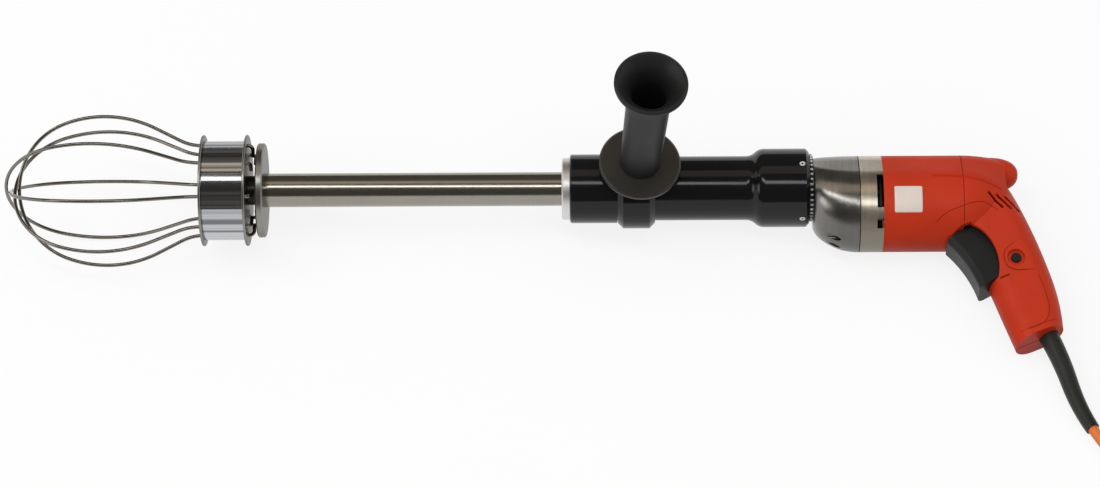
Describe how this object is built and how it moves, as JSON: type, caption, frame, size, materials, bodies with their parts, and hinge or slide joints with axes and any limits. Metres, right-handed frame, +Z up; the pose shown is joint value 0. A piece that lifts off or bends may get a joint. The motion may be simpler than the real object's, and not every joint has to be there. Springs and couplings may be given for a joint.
{
  "type": "mixing drill",
  "caption": "Hand held mixing drill lying on a table: wire whisk on a long drive tube, bearing housing with an upright side handle, gearbox, motor, pistol grip and coiled mains cord.",
  "frame": {"origin": "middle of the tool's footprint on the table, without the free cord", "axes": "+X along the tool from the whisk to the motor, +Y away from the grip's end, +Z up"},
  "size_m": [1.126, 0.3354, 0.219],
  "materials": {
    "whisk_steel": "bright drawn wire",
    "plate_steel": "plated sheet",
    "drum_steel": "polished",
    "shaft_steel": "turned steel",
    "gear_steel": "hardened",
    "bearing_steel": "ground",
    "bronze": "sintered bush",
    "screw_steel": "zinc plated",
    "bright_ring": "turned",
    "housing_black": "black painted",
    "seal_rubber": "moulded",
    "handle_plastic": "grained",
    "case_aluminium": "die cast",
    "body_red": "fine grain",
    "control_black": "smooth",
    "core_iron": "laminated",
    "copper": "copper wire and bars",
    "brush_brass": "pressed",
    "carbon": "pressed carbon",
    "cord_orange": "sheath"
  },
  "bodies": {
    "body": {"bearing_housing": "housing_black", "front_ring": "bright_ring", "shaft_seal": "seal_rubber", "front_bearing": "bearing_steel", "rear_bearing": "bearing_steel", "clamp_screws": "screw_steel", "gearbox_front": "case_aluminium", "gearbox_flange": "case_aluminium", "gearbox_screws": "screw_steel", "spindle_bearing": "bearing_steel", "spindle_bush": "bronze", "countershaft_bushes": "bronze", "motor_housing": "body_red", "stator_core": "core_iron", "field_coils": "copper", "motor_front_bearing": "bearing_steel", "motor_rear_bearing": "bearing_steel", "brush_holders": "brush_brass", "carbon_brushes": "carbon", "switch_body": "control_black", "handle_shell_left": "body_red", "handle_shell_right": "body_red", "shell_screws": "screw_steel", "strain_relief": "seal_rubber", "cord_lead": "cord_orange", "cord_coil": "cord_orange", "cord_tail": "cord_orange", "cord_tie": "control_black", "mains_plug": "cord_orange", "plug_pins": "brush_brass"},
    "spindle": {"whisk_wire_1": "whisk_steel", "whisk_wire_2": "whisk_steel", "whisk_wire_3": "whisk_steel", "whisk_wire_4": "whisk_steel", "whisk_front_plate": "plate_steel", "whisk_rear_plate": "plate_steel", "whisk_sleeve": "drum_steel", "whisk_hub": "shaft_steel", "end_flange": "plate_steel", "tool_stud": "shaft_steel", "drive_tube": "shaft_steel", "drive_spindle": "shaft_steel", "coupling_sleeve": "shaft_steel", "output_spindle": "shaft_steel", "output_gear": "gear_steel"},
    "countershaft": {"countershaft": "shaft_steel", "countershaft_gear": "gear_steel"},
    "armature": {"armature_shaft": "shaft_steel", "armature_core": "core_iron", "armature_winding": "copper", "commutator": "copper", "cooling_fan": "control_black"},
    "trigger": {"trigger": "control_black"},
    "lock": {"lock_button": "control_black"},
    "side_handle": {"handle_ring": "handle_plastic", "handle_collar": "handle_plastic", "handle_stud": "shaft_steel", "side_handle": "handle_plastic"}
  },
  "joints": [
    {"name": "spindle_spin", "type": "hinge", "parent": "body", "child": "spindle", "pos_m": [0.22338, 0.08014, 0.04323], "axis": [0.9993, 0, -0.0372], "continuous": true},
    {"name": "counter_spin", "type": "hinge", "parent": "body", "child": "countershaft", "pos_m": [0.22273, 0.06977, 0.02585], "axis": [0.9993, 0, -0.0372], "continuous": true},
    {"name": "motor_spin", "type": "hinge", "parent": "body", "child": "armature", "pos_m": [0.22328, 0.06032, 0.04057], "axis": [0.9993, 0, -0.0372], "continuous": true},
    {"name": "trigger_press", "type": "slide", "parent": "body", "child": "trigger", "axis": [0.8692, 0.4932, 0.0339], "range_m": [0, 0.007], "stiffness_N_per_m": 800},
    {"name": "lock_press", "type": "slide", "parent": "body", "child": "lock", "axis": [-0.0369, 0.133, -0.9904], "range_m": [0, 0.0025], "stiffness_N_per_m": 400},
    {"name": "handle_swivel", "type": "hinge", "parent": "body", "child": "side_handle", "pos_m": [0.22338, 0.08014, 0.04323], "axis": [0.9993, 0, -0.0372], "range_deg": [-90, 90]}
  ],
  "couplings": [
    {"joint": "counter_spin", "follows": "spindle_spin", "ratio": -4},
    {"joint": "motor_spin", "follows": "spindle_spin", "ratio": 18.222}
  ]
}
